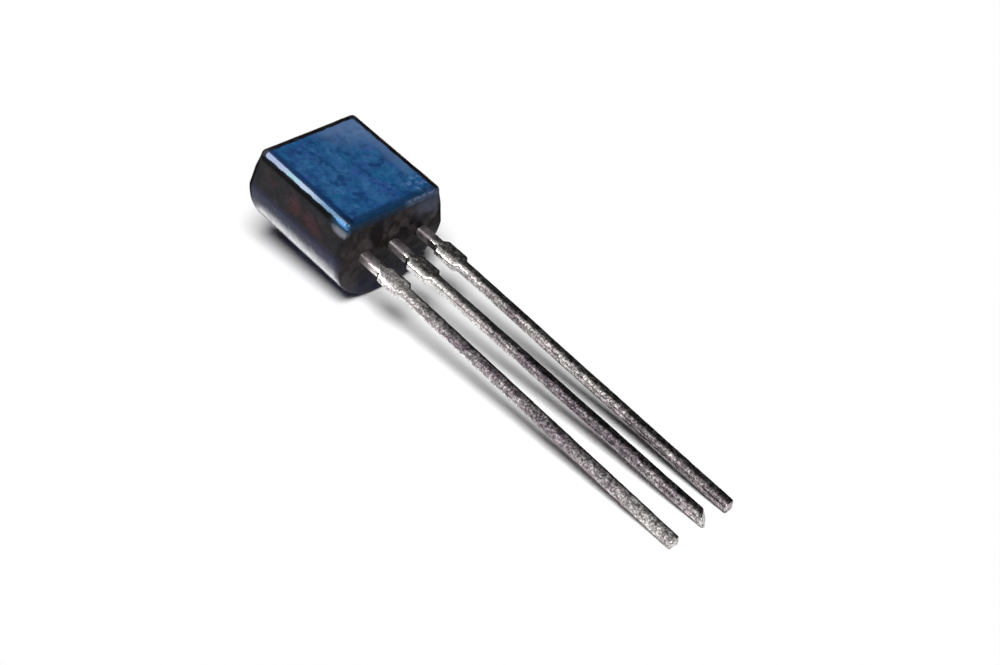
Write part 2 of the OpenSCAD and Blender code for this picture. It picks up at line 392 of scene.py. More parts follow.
def black_corners(n, exit_end):
    """The exit face's corner on the base side and the far end's on the emitter side."""
    x, y, z = n.axes()
    at_exit = n.times(exit_end, n.step(n.scaled(z, SIDE_SLOPE, y), *EXIT_CORNER_Y), n.step(z, *EXIT_CORNER_Z))
    far_end = n.step(n.scaled(n.absolute(z), -END_SLOPE, x), *FAR_CORNER_X)
    return n.most(at_exit, n.times(far_end, n.step(n.scaled(z, -SIDE_SLOPE, y), *FAR_CORNER_Y)))


def paint_exit_edge(n, exit_end, patch):
    """Blue that has bled over the edge of the flat, and a painted glint on the bare round edge beyond it."""
    _, y, z = n.axes()
    n.paint(n.times(exit_end, n.step(n.scaled(patch, 0.2, z), *BLED_Z)), BLED_BLUE)
    # Painted glint on the bare round edge beside the base lead
    edge_glint = n.times(exit_end, n.step(z, *PAINTED_GLINT_Z), n.step(y, *PAINTED_GLINT_Y))
    n.paint(n.times(edge_glint, n.step(patch, 0.3, 0.6, 0.4, 1.0)), PAINTED_GLINT_BLUE)


def broken_gate(n):
    """Where the gate broke off the far end."""
    x, y, z = n.axes()
    across = n.math("DIVIDE", n.absolute(y), GATE_W)
    up = n.math("DIVIDE", n.absolute(z), GATE_T)
    return n.times(n.step(n.most(across, up), 0.6, 0.5), n.step(x, *GATE_X))


def epoxy_material():
    n = Nodes("epoxy")
    x, y, z = n.axes()
    pale = n.step(n.noise(2.4, 4, 0.6, shift=(5, 5, 1)), 0.45, 0.75)
    grain = n.noise(26, 3, 0.6)
    patch = n.noise(2.6, 3, 0.5, shift=(8, 8, 1))
    exit_end = n.step(x, *EXIT_X)
    # Painted shade line under the round edge, where the gloss is also lowered
    line = n.times(n.step(z, *SHADE_LINE_Z), n.step(y, *SHADE_LINE_Y))
    corners = black_corners(n, exit_end)
    gate = broken_gate(n)
    paint_ground(n, pale, grain)
    paint_flow_marks(n, exit_end, patch)
    paint_wear(n, exit_end, patch, line)
    n.paint(corners, CORNER_BLACK)
    paint_exit_edge(n, exit_end, patch)
    n.paint(gate, n.mix(grain, GATE_DARK, GATE_PALE))
    # Duller under the edge of the flat and on the exit face, where the mould is worn, and on the broken gate
    dull = n.most(n.step(z, *DULL_Z), n.step(x, *DULL_X))
    dull = n.most(n.times(dull, n.step(pale, -0.2, 0.6, 0.7, 1.0)), gate)
    satin = n.step(n.noise(3.5, 4, 0.6), 0.3, 0.7, 0.15, 0.3)
    n.set(
        Base_Color=n.colour,
        Roughness=n.scaled(n.plus(dull, gate), 0.18, satin),
        Specular_IOR_Level=n.scaled(n.most(dull, line, corners), -0.12, 0.15),
        Specular_Tint=EPOXY_SHEEN,
        Normal=n.bump(n.noise(7), 0.005, n.bump(grain, 0.002)),
    )
    return n.material


# ---- Coat ----
COAT_DEEP, COAT_LIGHT = (0.009, 0.066, 0.19), (0.022, 0.100, 0.245)
COAT_VIOLET, COAT_TEAL = (0.028, 0.066, 0.26), (0.006, 0.105, 0.215)
BLOTCH_DARK, BLOTCH_PALE = (0.004, 0.030, 0.115), (0.045, 0.145, 0.31)
SPOT_DARK, SPOT_PALE = (0.004, 0.032, 0.12), (0.040, 0.135, 0.27)
FLECK_DARK, GRAIN_PALE = (0.004, 0.024, 0.085), (0.045, 0.13, 0.27)
PAINTED_SHEEN_BLUE, PAINTED_SHEEN_PALE, PAINTED_SHEEN_EDGE = (0.060, 0.115, 0.25), (0.115, 0.19, 0.34), (0.085, 0.150, 0.29)
SPRAYED, COAT_SCUFF_HIGHLIGHT = (0.13, 0.24, 0.42), (0.060, 0.21, 0.47)
THIN_BLUE, SPENT_BLUE = (0.005, 0.022, 0.062), (0.006, 0.024, 0.058)
RUBBED_BLUE, RUBBED_DARK = (0.003, 0.026, 0.092), (0.001, 0.007, 0.030)

PAINTED_SHEEN_AT, PAINTED_SHEEN_FADE = (-4.7, 1.9, FLAT_H), (2.9, 1.2)
PAINTED_SHEEN_PAST, PAINTED_SHEEN_X, PAINTED_SHEEN_Y = (-0.5, -0.12), (-0.9, -1.6), (-0.4, 0.8)
SPRAY_AT, SPRAY_FADE = (-0.7, 1.5, FLAT_H), (0.8, 0.25)
THIN_PAST = (-0.16, 0.02)
RUBBED_PAST, RUBBED_Y, RUBBED_DARK_X = (-0.2, -0.07), (-1.0, -1.4), (-1.2, -0.4)
SPENT_X, PAINTED_GLINT_X = (-0.26, -0.1), (-0.25, -0.18)
COAT_SCUFF_HIGHLIGHT_AT, COAT_SCUFF_HIGHLIGHT_STRETCH, COAT_SCUFF_HIGHLIGHT_FADE = (-0.5, -2.14, 1.34), (0.5, 1, 1), (0.33, 0.17)

# The sheen along the coat is lavender at the far end, then green, then white, and blue at the leads
FAR_SHEEN = (0.82, 0.88, 1.0)
SHEENS = (
    ((-3.7, -3.2), (0.62, 0.98, 0.88)),
    ((-3.05, -2.6), (0.84, 0.96, 1.0)),
    ((-2.2, -1.2), (0.5, 0.8, 1.0)),
)
GLOSS_X, FRONT_GLOSS_X, FAR_GLOSS_X = (-2.6, -1.2), (-0.9, -0.4), (-3.0, -4.0)


def paint_mottling(n, blotch, spot, fleck, grain):
    cloud = n.noise(0.9, 3, 0.6, 0.4)
    violet = n.noise(1.1, 3, 0.6, 0.5, shift=(9, 3, 0))
    teal = n.noise(1.3, 3, 0.6, 0.5, shift=(2, 9, 0))
    n.colour = n.mix(n.step(cloud, 0.32, 0.68), COAT_DEEP, COAT_LIGHT)
    for field, start, full, cover, tint in (
        (violet, 0.5, 0.66, 0.6, COAT_VIOLET),
        (teal, 0.52, 0.68, 0.6, COAT_TEAL),
        (blotch, 0.5, 0.66, 0.8, BLOTCH_DARK),
        (blotch, 0.44, 0.3, 0.6, BLOTCH_PALE),
        (spot, 0.48, 0.68, 0.4, SPOT_DARK),
        (spot, 0.48, 0.32, 0.3, SPOT_PALE),
        (fleck, 0.54, 0.72, 0.4, FLECK_DARK),
        (grain, 0.52, 0.75, 0.4, GRAIN_PALE),
    ):
        n.paint(n.step(field, start, full, 0.0, cover), tint)


def paint_sheen_and_spray(n, blotch, spot, past):
    """On the base side, a painted sheen in the far corner and along the edges, and pale grains in the near
    corner.
    """
    x, y, _ = n.axes()
    # Painted sheen in the far corner
    corner = n.scaled(n.noise(2.0), 1.2, n.distance(PAINTED_SHEEN_AT))
    n.paint(n.step(corner, *PAINTED_SHEEN_FADE, 0.0, 0.8), n.mix(n.step(spot, 0.3, 0.7), PAINTED_SHEEN_BLUE, PAINTED_SHEEN_PALE))
    spray = n.step(n.noise(5, 3, 0.6, shift=(6, 6, 0)), 0.46, 0.7, 0.0, 0.8)
    n.paint(n.times(n.step(n.distance(SPRAY_AT), *SPRAY_FADE), spray), SPRAYED)
    # Painted sheen along the edges on the base side, short of the exit end
    band = n.step(n.scaled(blotch, 0.3, past), *PAINTED_SHEEN_PAST, 0.0, 0.55)
    n.paint(n.times(band, n.step(y, *PAINTED_SHEEN_Y), n.step(x, *PAINTED_SHEEN_X)), PAINTED_SHEEN_EDGE)


def paint_coat_edges(n, fleck, beside, past, scuff_highlight):
    """Thin, so darker, along the edges, rubbed on the emitter side and spent at the exit end, with a painted
    glint beside the base lead and the scuffed corner lightened as a painted highlight.
    """
    x, y, _ = n.axes()
    n.paint(n.step(past, *THIN_PAST, 0.0, 0.8), THIN_BLUE)
    rubbed = n.times(n.step(beside, *RUBBED_PAST, 0.0, 0.85), n.step(y, *RUBBED_Y))
    n.paint(rubbed, n.mix(n.step(x, *RUBBED_DARK_X), RUBBED_BLUE, RUBBED_DARK))
    n.paint(n.step(n.scaled(fleck, 0.12, x), *SPENT_X), SPENT_BLUE)
    # Painted glint on the coat's edge at the exit end beside the base lead
    coat_glint = n.times(n.step(x, *PAINTED_GLINT_X), n.step(y, *PAINTED_GLINT_Y))
    n.paint(n.times(coat_glint, n.step(fleck, 0.35, 0.6, 0.3, 0.9)), PAINTED_GLINT_BLUE)
    # Scuffed corner, a lighter blue as a painted highlight
    n.paint(scuff_highlight, COAT_SCUFF_HIGHLIGHT)


def coat_material():
    n = Nodes("blue_coat")
    x, y, _ = n.axes()
    blotch = n.noise(1.9, 3, 0.55, 0.3, shift=(4, 2, 0))
    spot = n.noise(4.2, 2, 0.5, 0.3, shift=(3, 3, 3))
    fleck = n.noise(7.5, 2, 0.5, shift=(1, 8, 0))
    grain = n.noise(20, 3, 0.6)
    # How far a place lies past the sides of the plane, and past any edge of it, below 0 within them
    beside = n.minus(n.absolute(y), FLAT_REACH[1])
    past = n.most(beside, n.minus(n.absolute(n.plus(x, CASE_L / 2)), FLAT_REACH[0]))
    # Scuffed corner of the coat, a lighter blue as a painted highlight, and rougher and less glossy there
    scuff_highlight = n.scaled(fleck, 0.1, n.distance(COAT_SCUFF_HIGHLIGHT_AT, COAT_SCUFF_HIGHLIGHT_STRETCH))
    scuff_highlight = n.step(scuff_highlight, *COAT_SCUFF_HIGHLIGHT_FADE)
    paint_mottling(n, blotch, spot, fleck, grain)
    paint_sheen_and_spray(n, blotch, spot, past)
    paint_coat_edges(n, fleck, beside, past, scuff_highlight)
    sheen = FAR_SHEEN
    for place, tint in SHEENS:
        sheen = n.mix(n.step(x, *place), sheen, tint)
    gloss = n.plus(n.step(x, *FRONT_GLOSS_X, 0.0, 0.08), n.step(x, *FAR_GLOSS_X, 0.0, -0.07))
    gloss = n.plus(n.step(x, *GLOSS_X, 0.37, 0.24), gloss)
    n.set(
        Base_Color=n.colour,
        Roughness=n.scaled(scuff_highlight, 0.1, n.scaled(n.noise(5, 4, 0.6), 0.2, 0.14)),
        Specular_IOR_Level=n.scaled(scuff_highlight, -0.08, gloss),
        Specular_Tint=sheen,
        Normal=n.bump(blotch, 0.004, n.bump(grain, 0.0007)),
    )
    return n.material


# ---- Tin ----
TIN_DULL, TIN_BRIGHT, TIN_MAUVE = (0.235, 0.205, 0.222), (0.84, 0.82, 0.77), (0.98, 0.905, 0.975)
TIN_FLOOR_REFLECTION, TIN_PAINTED_SHADE = (0.93, 0.92, 0.91), (0.11, 0.095, 0.10)
NECK_DARK, NECK_PALE = (0.34, 0.29, 0.305), (0.53, 0.47, 0.485)

NOT_EMITTER_Y, BASE_Y = (-0.9, -0.4), (0.4, 0.9)
NEAR_X, EMITTER_NEAR_X = (6.6, 2.6), (3.8, 1.9)
FRESH_MIDDLE_X, FRESH_REACH = 7.8, (3.3, 1.4)
TIP_X, EMITTER_TIP_X = (10.8, 13.8), (9.5, 14.0)
TARNISH_MIDDLE_X, TARNISH_REACH = 9.2, (2.6, 1.0)
MAUVE_X = (2.0, 6.0)
FLOOR_REFLECTION_X, FLOOR_REFLECTION_Z, FLOOR_REFLECTION_BASE_X = (9.5, 6.0), (0.03, -0.08), (3.0, 5.0)
PAINTED_SHADE_X, PAINTED_SHADE_Z = (4.0, 8.0), (0.02, -0.12)
NECK_X = (1.2, 0.7)


def tin_freshness(n, not_emitter, base):
    """How fresh the tin is near the case, and there, in the middle of the base lead and at the tips."""
    x = n.axes()["X"]
    near = n.most(not_emitter, n.step(x, *EMITTER_NEAR_X, 0.0, 0.85))
    near = n.times(n.step(n.scaled(base, 1.2, x), *NEAR_X), near)
    middle = n.times(n.step(n.absolute(n.minus(x, FRESH_MIDDLE_X)), *FRESH_REACH, 0.0, 0.8), base)
    tips = n.step(n.scaled(base, 1.8, x), *TIP_X, 0.0, 0.25)
    emitter_tip = n.times(n.step(x, *EMITTER_TIP_X, 0.0, 0.72), n.step(not_emitter, 1.0, 0.0))
    return near, n.most(near, middle, tips, emitter_tip)


def paint_foot(n, base):
    """Bright along the foot of the emitter side, a painted reflection of the floor, and darker on the base
    lead, a painted shade.
    """
    x, _, z = n.axes()
    base_x = n.times(base, x)
    # Painted reflection of the lit floor on the lower sides, short of the tips, and on the base lead only
    # near the case
    floor_reflection = n.times(n.step(z, *FLOOR_REFLECTION_Z), n.step(x, *FLOOR_REFLECTION_X, 0.0, 0.8), n.step(base_x, *FLOOR_REFLECTION_BASE_X, 1.0, 0.0))
    n.paint(floor_reflection, TIN_FLOOR_REFLECTION)
    # Painted shade on the base lead's lower side, from its middle to the tip
    painted_shade = n.times(n.step(z, *PAINTED_SHADE_Z), n.step(base_x, *PAINTED_SHADE_X))
    n.paint(n.times(painted_shade, 0.85), TIN_PAINTED_SHADE)


def tin_material():
    n = Nodes("tin")
    x, y, _ = n.axes()
    not_emitter, base = n.step(y, *NOT_EMITTER_Y), n.step(y, *BASE_Y)
    near, fresh = tin_freshness(n, not_emitter, base)
    # The collector lead alone is tarnished
    tarnish = n.step(n.absolute(n.minus(x, TARNISH_MIDDLE_X)), *TARNISH_REACH)
    tarnish = n.times(tarnish, n.minus(not_emitter, base))
    mottle = n.noise(2.4, 4, 0.6, 0.6, stretch=(0.6, 1.3, 1.3))
    speck = n.noise(6.0, 3, 0.65, 0.3)
    fine = n.noise(14, 2, 0.6, shift=(7, 3, 5))
    streak = n.noise(9, 3, 0.6, stretch=(0.12, 1, 1))
    bright = n.scaled(n.step(mottle, 0.38, 0.66), 0.34, n.times(fresh, 0.58))
    bright = n.times(bright, n.scaled(tarnish, -0.58, 1.0))
    n.colour = n.mix(bright, TIN_DULL, TIN_BRIGHT)
    mauve = n.step(n.noise(1.3, 3, 0.6, shift=(6, 1, 4)), 0.46, 0.62, 0.2, 1.0)
    n.paint(n.times(mauve, n.step(x, *MAUVE_X, 0.3, 1.0)), TIN_MAUVE, "MULTIPLY")
    paint_foot(n, base)
    # Coarse and fine grains, weaker where the tin is fresh near the case
    grains = n.times(n.step(speck, 0.36, 0.64, 0.52, 1.28), n.step(fine, 0.36, 0.64, 0.36, 1.46))
    grains = n.scaled(n.minus(grains, 1.0), n.scaled(near, -0.35, 1.0), 1.0)
    shade = n.add("ShaderNodeCombineColor", {"Red": grains, "Green": grains, "Blue": grains})
    n.paint(1.0, shade.outputs["Color"], "MULTIPLY")
    # Darker, duller and streaked between the case and the shoulder
    neck = n.step(n.scaled(mottle, 0.5, n.scaled(base, 0.1, x)), *NECK_X)
    n.paint(n.times(neck, 0.85), n.mix(n.step(streak, 0.35, 0.65), NECK_DARK, NECK_PALE))
    n.set(
        Base_Color=n.colour,
        Metallic=1.0,
        Roughness=n.scaled(neck, 0.2, n.step(speck, 0.35, 0.7, 0.15, 0.24)),
        Normal=n.bump(mottle, 0.008, n.bump(fine, 0.0018, n.bump(streak, 0.002))),
    )
    return n.material


# ---- Pieces sealed in the case, and their materials: name, two colours, roughness and metallic ----
SILICON = ("silicon", (0.16, 0.18, 0.23), (0.24, 0.26, 0.31), 0.12, 0.0)
DIE_SOLDER = ("die_solder", (0.6, 0.59, 0.57), (0.75, 0.74, 0.71), 0.25, 1.0)
GOLD = ("gold", (0.85, 0.60, 0.20), (0.95, 0.72, 0.30), 0.15, 1.0)
SEALED = (
    (GOLD, ("emitter_bond_wire", "base_bond_wire")),
    (SILICON, ("die",)),
    (DIE_SOLDER, ("die_attach",)),
)


def inner_material(name, dark, light, roughness, metallic):
    """A plain finish with a fine grain."""
    n = Nodes(name)
    n.set(
        Base_Color=n.mix(n.noise(12, 4), dark, light),
        Roughness=n.scaled(n.noise(30), 0.2, roughness),
        Metallic=metallic,
        Normal=n.bump(n.noise(40, 2), 0.001),
    )
    return n.material


def finish_sealed_pieces():
    for finish, nodes in SEALED:
        material = inner_material(*finish)
        for node in nodes:
            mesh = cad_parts[node].data
            mesh.materials.clear()
            mesh.materials.append(material)


# ---- Case ----
# Radius between the sides and the ends, which grows to the round edge's over this height below that edge
WALL_R, RADIUS_FADE = 0.1, 0.6
# The parting line's ridge on the ends is this round
SOFT_RIDGE = 0.03

# Points along the outline's fillet, side, quarter of the round back and flat, and steps along the case
FILLET_POINTS, WALL_POINTS, QUARTER_POINTS, FLAT_POINTS = 11, 30, 68, 60
MIDDLE_STEPS, ROUND_ROWS, CAP_STEPS, CAP_CROWDING = 83, 9, 48, 1.4

# Sinks and flow marks: the length of the dents, half their depth, and a seed
SINKS = ((1.1, 0.004, 5), (0.35, 0.0015, 6))
# From outside to inside the outlines of the marks
EJECTOR_EDGE, GATE_EDGE_Y, GATE_EDGE_Z = (-0.02, 0.04), (-0.03, 0.03), (-0.02, 0.03)
GATE_ROUGH, GATE_GRAIN, GATE_SEED = 0.2, 0.17, 7


def case_profile():
    """Outline seen along the leads, its normals, and the radius of the round end at each point."""
    reach, fillet_foot = FLAT_REACH[1], FLAT_H - EDGE_R
    fillet, fillet_n = arc((reach, fillet_foot), EDGE_R, 90, SIDE_LEAN, FILLET_POINTS)
    wall = np.linspace(fillet[-1], (BACK_R, 0), WALL_POINTS)[1:]
    wall_n = np.repeat(fillet_n[-1:], len(wall), 0)
    half_lean = math.radians(SIDE_LEAN / 2)
    wall_n[-1] = (math.cos(half_lean), math.sin(half_lean))
    back, back_n = arc((0, 0), BACK_R, 0, -90, QUARTER_POINTS)
    side = np.concatenate([fillet, wall, back[1:]])
    side_n = np.concatenate([fillet_n, wall_n, back_n[1:]])
    radius = WALL_R + (EDGE_R - WALL_R) * smooth(side[:, 1], fillet_foot - RADIUS_FADE, fillet_foot)
    mirror = np.array([-1, 1])
    top = np.stack([between(-reach, reach, FLAT_POINTS + 1), np.full(FLAT_POINTS, FLAT_H)], 1)
    top_n = np.tile((0.0, 1.0), (FLAT_POINTS, 1))
    points = np.concatenate([side, side[-2::-1] * mirror, top])
    normals = np.concatenate([side_n, side_n[-2::-1] * mirror, top_n])
    radii = np.concatenate([radius, radius[-2::-1], np.full(FLAT_POINTS, EDGE_R)])
    return points, normals, radii


def end_x(z, sign):
    """X of the drafted end at that height; sign is 1 at the exit face and -1 at the far end."""
    retreat = (np.sqrt(z * z + SOFT_RIDGE ** 2) - SOFT_RIDGE) * END_SLOPE
    return np.where(sign > 0, -retreat, retreat - CASE_L)


def round_end(points, normals, radii, sign):
    """Rows of points over the round end, from the side's normal to the end's."""
    centre = points - normals * radii[:, None]
    slope = END_SLOPE * centre[:, 1] / np.sqrt(centre[:, 1] ** 2 + SOFT_RIDGE ** 2)
    long = np.sqrt(1 + slope ** 2)
    end_n = np.stack([sign / long, 0 * slope, slope / long], 1)
    side_n = np.concatenate([np.zeros((len(points), 1)), normals], 1)
    x = end_x(centre[:, 1], sign) - sign * radii * long
    centre = np.concatenate([x[:, None], centre], 1)
    whole = np.arccos((side_n * end_n).sum(1))[:, None]
    rows = []
    for t in np.linspace(0, 1, ROUND_ROWS):
        n = (np.sin((1 - t) * whole) * side_n + np.sin(t * whole) * end_n) / np.sin(whole)
        rows.append(centre + radii[:, None] * n)
    return rows


def closed(shell):
    """Points and faces of the tube and of both its ends, which rings that shrink to a point close."""
    around, along = shell.shape[:2]
    points, faces = [shell.reshape(-1, 3)], tube_faces(around, along)
    count = around * along
    for column, sign, peak in ((0, -1, -CASE_L), (along - 1, 1, 0.0)):
        rim, last = shell[:, column], np.arange(around) * along + column
        for t in between(0, 1, CAP_STEPS):
            ring = rim * (1 - t) ** CAP_CROWDING
            ring[:, 0] = end_x(ring[:, 2], sign)
            points.append(ring)
            new = count + np.arange(around)
            quads = np.stack([last, new, np.roll(new, -1), np.roll(last, -1)], 1)
            faces += quads[:, ::-sign].tolist()
            last, count = new, count + around
        points.append([[peak, 0, 0]])
        faces += fan_faces(last[::sign], count)
        count += 1
    return np.concatenate(points), faces


def mould(v):
    """The points with sinks and flow marks, always inwards, the ejector pin's mark and the broken gate."""
    inwards = np.array([-CASE_L / 2, 0, 0]) - v
    inwards /= np.linalg.norm(inwards, axis=1)[:, None]
    depth = sum(half_depth * dents(v, length, seed) for length, half_depth, seed in SINKS)
    v = v + inwards * depth[:, None]
    pin = smooth(EJECTOR_D / 2 - np.hypot(v[:, 0] + CASE_L / 2, v[:, 1]), *EJECTOR_EDGE)
    v[:, 2] += np.where(v[:, 2] < -BACK_R / 2, EJECTOR_DEPTH * pin, 0)
    gate = smooth(GATE_W / 2 - np.abs(v[:, 1]), *GATE_EDGE_Y)
    gate = gate * smooth(GATE_T / 2 - np.abs(v[:, 2]), *GATE_EDGE_Z)
    broken = 1 - GATE_ROUGH + GATE_ROUGH * np.tanh(ripple(v, GATE_GRAIN, GATE_SEED))
    v[:, 0] -= np.where(v[:, 0] < -CASE_L / 2, GATE_PROUD * gate * broken, 0)
    return v


def make_case(material):
    profile = case_profile()
    far, exit_end = round_end(*profile, -1), round_end(*profile, 1)
    middle = [far[0] + (exit_end[0] - far[0]) * t for t in between(0, 1, MIDDLE_STEPS)]
    shell = np.stack(far[::-1] + middle + exit_end, 1)
    v, faces = closed(shell)
    make_piece("case_moulding", mould(v), faces, material, "case")


# ---- Coat's shape ----
# It runs over two round edges by this many of their radius, and further where the two meet
WRAP, CORNER_RUN = 1.15, 0.24
CORNER_X, CORNER_Y = (0.7, 0.1), 0.3
CORNER_POINTS, OUTLINE_STEP, COAT_STEPS = 12, 0.05, 91
# Unevenness of its outline and of its surface: depth, length and seed
RAGGED, RAGGED_L, RAGGED_SEED = 0.01, 0.22, 11
PEEL, PEEL_L, PEEL_SEED = 0.002, 0.5, 12
# Section of its edge: distance inside the outline, and height
COAT_FOOT = -0.004
COAT_EDGE = ((0.012, COAT_FOOT), (0.0, 0.0), (0.001, 0.008), (0.006, 0.014), (0.016, 0.018), (0.03, COAT_T))


def wrapped(flat, height):
    """Points of the plane of the flat, wrapped over its round edges at that height above them."""
    reach = np.array(FLAT_REACH)
    core = np.clip(flat, -reach, reach)
    past = (flat - core) / EDGE_R
    angle = np.maximum(np.linalg.norm(past, axis=1), 1e-9)
    bent = past * (np.sin(angle) / angle)[:, None] * (EDGE_R + height)
    rise = np.cos(angle) * (EDGE_R + height) - EDGE_R
    return np.concatenate([core + bent, rise[:, None]], 1) + (-CASE_L / 2, 0, FLAT_H)


def coat_outline():
    """Ragged outline round its own middle, the way inwards from each of its points, and that middle."""
    reach_x, reach_y = FLAT_REACH
    low = np.array([COAT_GAP - reach_x, -reach_y - WRAP * EDGE_R])
    high = np.array([reach_x + WRAP * EDGE_R, reach_y - COAT_GAP])
    half, middle = (high - low) / 2, (high + low) / 2
    corners = []
    for sx, sy, start in ((1, 1, 0), (-1, 1, 90), (-1, -1, 180), (1, -1, 270)):
        corners.append(arc((half - COAT_R) * (sx, sy), COAT_R, start, start + 90, CORNER_POINTS)[0])
    outline = []
    for here, following in zip(corners, corners[1:] + corners[:1]):
        steps = int(np.linalg.norm(following[0] - here[-1]) / OUTLINE_STEP) - 1
        outline += [here, between(here[-1], following[0], steps)]
    outline = np.concatenate(outline)
    run = smooth(outline[:, 0] + middle[0], reach_x - CORNER_X[0], reach_x - CORNER_X[1])
    outline[:, 1] -= CORNER_RUN * EDGE_R * run * smooth(-outline[:, 1], half[1] - CORNER_Y, half[1])
    inward = -outline / np.linalg.norm(outline, axis=1)[:, None]
    edge = np.concatenate([outline, np.zeros((len(outline), 1))], 1)
    ragged = RAGGED * (1 + ripple(edge, RAGGED_L, RAGGED_SEED))
    return outline + inward * ragged[:, None], inward, middle


def make_coat(material):
    """Printed over the round edges at the exit end and on the emitter side, short of the other two."""
    outline, inward, middle = coat_outline()
    rows = [wrapped(outline + inward * inset + middle, height) for inset, height in COAT_EDGE]
    rim = outline + inward * COAT_EDGE[-1][0]
    rows += [wrapped(rim * (1 - t) + middle, COAT_T) for t in between(0, 1, COAT_STEPS)]
    shell = np.stack(rows, 1)
    around, along = shell.shape[:2]
    centres = [wrapped(middle[None], height) for height in (COAT_T, COAT_FOOT)]
    v = np.concatenate([shell.reshape(-1, 3), *centres])
    lower = np.arange(around) * along
    upper = lower + along - 1
    faces = tube_faces(around, along) + fan_faces(upper, len(v) - 2) + fan_faces(lower[::-1], len(v) - 1)
    top = smooth(v[:, 2], FLAT_H + COAT_T / 2, FLAT_H + COAT_T)
    v[:, 2] -= top * PEEL * dents(v, PEEL_L, PEEL_SEED)
    make_piece("flat_coat", v, faces, material, "face_coat")


# ---- Leads ----
# For each: its place across, its lean in degrees, its flag's side, or 0 for the one with the paddle, how much
# the slanting cut takes off its tip, its twist in degrees, how much rounder its shoulder is, and a seed
LEADS = {
    "emitter_lead": dict(y=-PITCH, lean=-1.15, flag_side=-1, cut=0.02, roll=5.8, dome=0.7, seed=21),
    "collector_lead": dict(y=0.0, lean=-0.2, flag_side=0, cut=0.3, roll=1.2, dome=-0.5, seed=31),
    "base_lead": dict(y=PITCH, lean=-1.2, flag_side=1, cut=0.05, roll=1.2, dome=0.1, seed=41),
}
SECTION_POINTS = 72
PLATE_STEP, SEALED_STEP, FREE_STEP, PLATE_EDGE = 0.04, 0.1, 0.035, 0.002
TIP_R, TIP_STEP = 0.05, 12.85

# Powers of the section's superellipse, where 2 is round and a large one square
PLATE_POWER, SHARP_POWER, SHOULDER_SHARPER, ROUND_POWER = 12.0, 5, 3, 2.9

# Unevenness, each as its depth and its length, and where along the lead it sets in; dents are sunk as a whole
WANDER, WANDER_L, WANDER_X = 0.004, 3.2, (0.3, 3)
SWELL, SWELL_L, SWELL_X = 0.006, 0.8, (0, 1)
DENT, DENT_L, PIT, PIT_L, DENT_X, DENT_SINK = 0.003, 0.42, 0.002, 0.17, (0.05, 1.2), 0.004
ROLL_X, TIP_ROLL, TIP_ROLL_X = (0.2, 0.8), 0.6, (11, 14)

# The cut's slant rises from the lower emitter-side corner to the upper base-side one
SLANT_Y, SLANT_Z, SLANT_HALF, SLANT_FULL, SLANT_L = 0.75, 0.66, 0.16, 1.3, 0.6


def lead_stations(inner):
    """Places along a lead, from the inner end of its plate to its tip."""
    return np.concatenate([
        np.arange(-inner, -FRAME_DEPTH, PLATE_STEP),
        [-FRAME_DEPTH - PLATE_EDGE, -FRAME_DEPTH + PLATE_EDGE],
        np.arange(-FRAME_DEPTH + SEALED_STEP, 0, SEALED_STEP),
        np.arange(0, LEAD_L - TIP_R, FREE_STEP),
        LEAD_L - TIP_R + TIP_R * np.sin(np.radians(np.arange(0, 91, TIP_STEP))),
    ])


def shoulder(s):
    """1 on the shoulder that the cut dam bar leaves, and 0 on the strip."""
    edges = [SHOULDER_FROM, SHOULDER_FROM + SHOULDER_TAPER, SHOULDER_TO - SHOULDER_TAPER, SHOULDER_TO]
    return smooth(np.interp(s, edges, [0, 1, 1, 0]), 0, 1)


def notched(s, at, width):
    """Half width with a round notch cut into it."""
    return width / 2 - np.sqrt(np.clip(NOTCH_R ** 2 - (s - at) ** 2, 0, None))


def half_widths(s, widen, flag_side):
    """Half widths on the emitter side and on the base side."""
    half = LEAD_W / 2 + widen * (SHOULDER_W - LEAD_W) / 2
    if flag_side:
        plates = [np.full_like(s, FLAG_W / 2)] * 2
        plates[flag_side > 0] = notched(s, -FRAME_DEPTH - FLAG_L / 2, FLAG_W)
    else:
        plates = [notched(s, 2 * NOTCH_R - FRAME_DEPTH - PADDLE_L, PADDLE_W)] * 2
    return [np.where(s < -FRAME_DEPTH, plate, half) for plate in plates]


def twisted(s, y, z, roll):
    """Turned towards the emitter side, more at the tip."""
    angle = np.radians(roll) * smooth(s, *ROLL_X) * (1 + TIP_ROLL * smooth(s, *TIP_ROLL_X))
    return y * np.cos(angle) - z * np.sin(angle), z * np.cos(angle) + y * np.sin(angle)


def leant(x, y, lean):
    """Bent sideways past the shoulder."""
    a = math.radians(lean)
    past, free = x > SHOULDER_TO, x - SHOULDER_TO
    bent_x = np.where(past, SHOULDER_TO + free * math.cos(a) - y * math.sin(a), x)
    bent_y = np.where(past, free * math.sin(a) + y * math.cos(a), y)
    return bent_x, bent_y


def lead_section(s, widen, left, right, dome):
    """Round the section: cosine and sine, places from -1 to 1, and the half width on each point's side."""
    buried = s < -FRAME_DEPTH
    angle = np.linspace(0, 2 * math.pi, SECTION_POINTS, endpoint=False)
    c, d = np.cos(angle)[:, None], np.sin(angle)[:, None]
    # The punch leaves a sharp edge on the base side and a round one on the emitter side
    sharp = np.where(buried, PLATE_POWER, SHARP_POWER + SHOULDER_SHARPER * widen)
    blunt = np.where(buried, PLATE_POWER, ROUND_POWER - dome * widen)
    power = np.where(c > 0, sharp, blunt)
    across = np.sign(c) * np.abs(c) ** (2 / power)
    up = np.sign(d) * np.abs(d) ** (2 / power)
    return c, d, across, up, np.where(across > 0, right, left)


